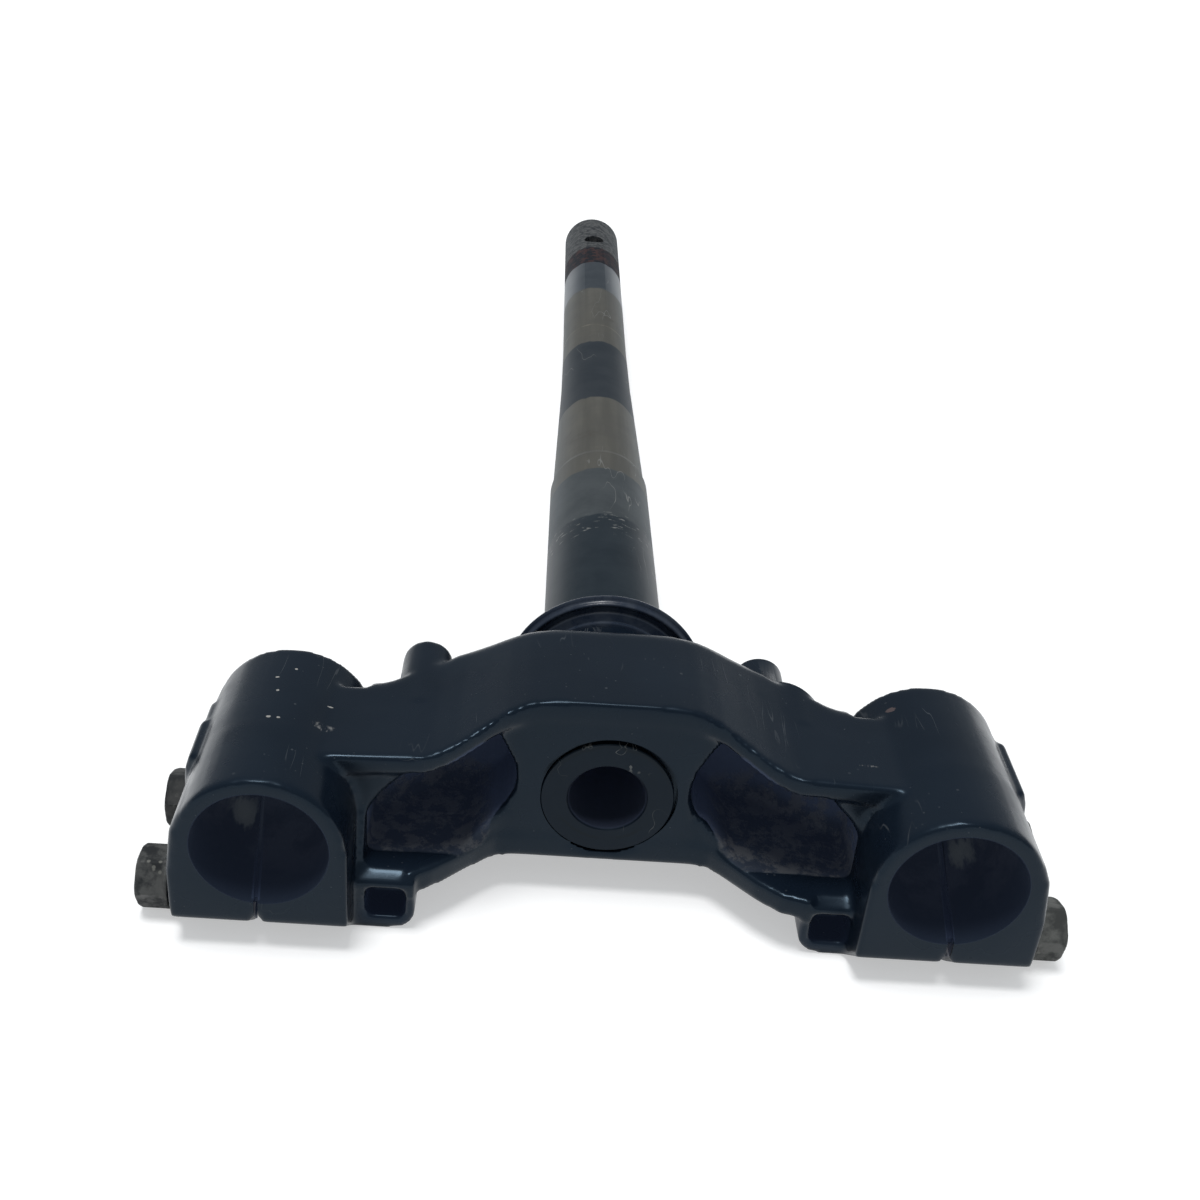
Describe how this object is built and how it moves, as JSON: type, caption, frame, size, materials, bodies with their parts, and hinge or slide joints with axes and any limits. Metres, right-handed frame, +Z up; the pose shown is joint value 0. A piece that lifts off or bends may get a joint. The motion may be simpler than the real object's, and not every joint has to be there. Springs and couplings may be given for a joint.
{
  "type": "motorcycle triple clamp",
  "caption": "Arched lower steering yoke with a long tapered stem, two split fork clamps with side pinch bolts, steering stops and a dust seal.",
  "frame": {"origin": "middle of the bounding box, on the plane of the clamps' flat faces, which the part lies on", "axes": "+X to the right across the two clamps, +Y along the stem to its tip, +Z up from the flat faces"},
  "size_m": [0.231, 0.485, 0.0596],
  "materials": {
    "black_paint": "gloss",
    "stem_steel": "worn bare steel with painted bands",
    "seal_rubber": "satin",
    "bolt_zinc": "dull zinc"
  },
  "bodies": {
    "root": {"yoke": "black_paint", "stem": "stem_steel", "dust_seal": "seal_rubber", "bolt_left_low": "bolt_zinc", "bolt_left_high": "bolt_zinc", "bolt_right_low": "bolt_zinc", "bolt_right_high": "bolt_zinc"}
  },
  "joints": []
}
